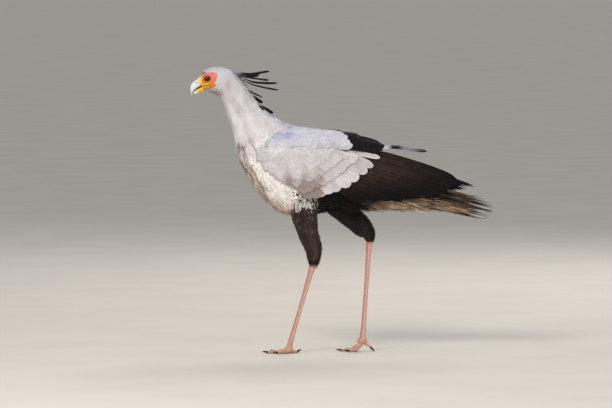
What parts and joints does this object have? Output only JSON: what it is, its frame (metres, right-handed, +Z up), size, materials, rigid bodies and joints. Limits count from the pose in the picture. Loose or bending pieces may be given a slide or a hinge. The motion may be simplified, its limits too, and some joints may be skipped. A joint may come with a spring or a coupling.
{
  "type": "secretary bird",
  "caption": "Life-size long-legged bird of prey in mid stride, with folded wings, a loose crest of plumes, a hooked bill and a long tail.",
  "frame": {"origin": "on the floor, under the middle of the bird's bounding box", "axes": "+Z up, the bird walks towards -X, its left side is at -Y"},
  "size_m": [0.9026, 0.1758, 0.858],
  "materials": {
    "grey_plumage": "matt, soft",
    "pale_plumage": "matt, soft",
    "slate_plumage": "matt",
    "dark_plumage": "matt",
    "horn": "satin",
    "yellow_horn": "satin",
    "eye": "polished, wet",
    "scaly_skin": "dry scales",
    "claw": "satin"
  },
  "bodies": {
    "root": {"head": "grey_plumage", "bill_upper": "horn", "bill_lower": "yellow_horn", "eye_left": "eye", "eye_right": "eye", "neck": "grey_plumage", "torso": "pale_plumage", "tail": "dark_plumage", "wing_left": "slate_plumage", "wing_right": "slate_plumage", "thigh_left": "dark_plumage", "thigh_right": "dark_plumage", "tarsus_left": "scaly_skin", "tarsus_right": "scaly_skin", "foot_left": "scaly_skin", "foot_right": "scaly_skin", "claw_middle_left": "claw", "claw_inner_left": "claw", "claw_outer_left": "claw", "claw_hind_left": "claw", "claw_middle_right": "claw", "claw_inner_right": "claw", "claw_outer_right": "claw", "claw_hind_right": "claw"}
  },
  "joints": []
}
